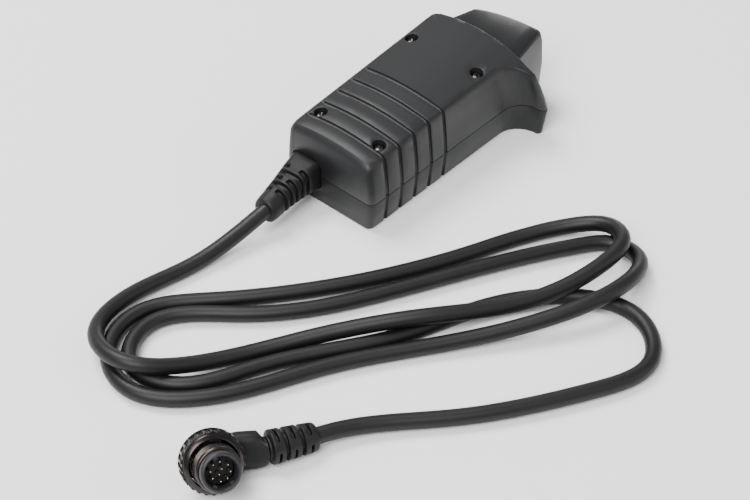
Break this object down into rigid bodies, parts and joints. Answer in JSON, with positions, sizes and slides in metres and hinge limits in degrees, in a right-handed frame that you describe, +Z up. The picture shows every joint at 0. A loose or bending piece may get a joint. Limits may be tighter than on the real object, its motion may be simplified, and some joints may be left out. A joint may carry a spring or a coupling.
{
  "type": "cable shutter release",
  "caption": "Wired camera shutter release: grooved two-shell hand grip with an end trigger and a finger hook, a long cord, and a right-angle screw-locking plug with pins.",
  "frame": {"origin": "on the resting surface, under the middle of the grip, its strain relief and its trigger together, without the cord and plug", "axes": "+Y along the grip from the cord end to the trigger, +Z up from the surface that the grip lies on, +X to the side of the finger hook"},
  "size_m": [0.104, 0.1533, 0.0231],
  "materials": {
    "shell_black": "charcoal moulded plastic, fine satin grain",
    "trigger_black": "smooth satin moulded plastic",
    "soft_black": "soft moulded rubber-like plastic, matte",
    "cord_black": "semi-matte cord jacket",
    "screw_black": "black-oxide steel",
    "spring_steel": "drawn spring wire",
    "contact_bronze": "rolled phosphor bronze",
    "block_cream": "moulded resin",
    "wire_red": "wire insulation",
    "wire_white": "wire insulation",
    "wire_blue": "wire insulation",
    "gunmetal": "dark plated metal, worn bright on its edges",
    "barrel_grey": "dark plated metal",
    "insert_black": "black insulator",
    "pin_bright": "bright plated contact pins"
  },
  "bodies": {
    "handle": {"upper_shell": "shell_black", "lower_shell": "shell_black", "housing_screw_1": "screw_black", "housing_screw_2": "screw_black", "housing_screw_3": "screw_black", "housing_screw_4": "screw_black", "trigger_spring": "spring_steel", "contact_block": "block_cream", "full_press_leaf": "contact_bronze", "block_screw_1": "screw_black", "block_screw_2": "screw_black", "inner_wire_1": "wire_red", "inner_wire_2": "wire_white", "inner_wire_3": "wire_blue", "handle_strain_relief": "soft_black", "cord": "cord_black", "plug_elbow": "soft_black", "plug_strain_relief": "soft_black", "plug_barrel": "barrel_grey", "pin_insert": "insert_black", "contact_pin_01": "pin_bright", "contact_pin_02": "pin_bright", "contact_pin_03": "pin_bright", "contact_pin_04": "pin_bright", "contact_pin_05": "pin_bright", "contact_pin_06": "pin_bright", "contact_pin_07": "pin_bright", "contact_pin_08": "pin_bright", "contact_pin_09": "pin_bright", "contact_pin_10": "pin_bright"},
    "trigger": {"trigger_button": "trigger_black"},
    "common_leaf": {"common_leaf": "contact_bronze"},
    "half_press_leaf": {"half_press_leaf": "contact_bronze"},
    "lock_ring": {"locking_ring": "gunmetal", "threaded_sleeve": "gunmetal"}
  },
  "joints": [
    {"name": "trigger_press", "type": "slide", "parent": "handle", "child": "trigger", "axis": [0, -1, 0], "range_m": [0, 0.0026], "stiffness_N_per_m": 600, "springref_m": -0.002, "deforming": ["trigger_spring"]},
    {"name": "common_leaf_flex", "type": "hinge", "parent": "handle", "child": "common_leaf", "pos_m": [-0.00891, 0.01188, 0.0105], "axis": [0, 0, 1], "range_deg": [-16.7, 0]},
    {"name": "half_press_leaf_flex", "type": "hinge", "parent": "handle", "child": "half_press_leaf", "pos_m": [-0.00891, 0.01063, 0.0105], "axis": [0, 0, 1], "range_deg": [-11.6, 0]},
    {"name": "locking_ring_spin", "type": "hinge", "parent": "handle", "child": "lock_ring", "pos_m": [0.03628, -0.10487, 0.00705], "axis": [0.7533, -0.409, 0.515], "continuous": true}
  ],
  "couplings": [
    {"joint": "common_leaf_flex", "follows": "trigger_press", "rad_per_m": -110},
    {"joint": "half_press_leaf_flex", "follows": "trigger_press", "rad_per_m": -75.5}
  ]
}
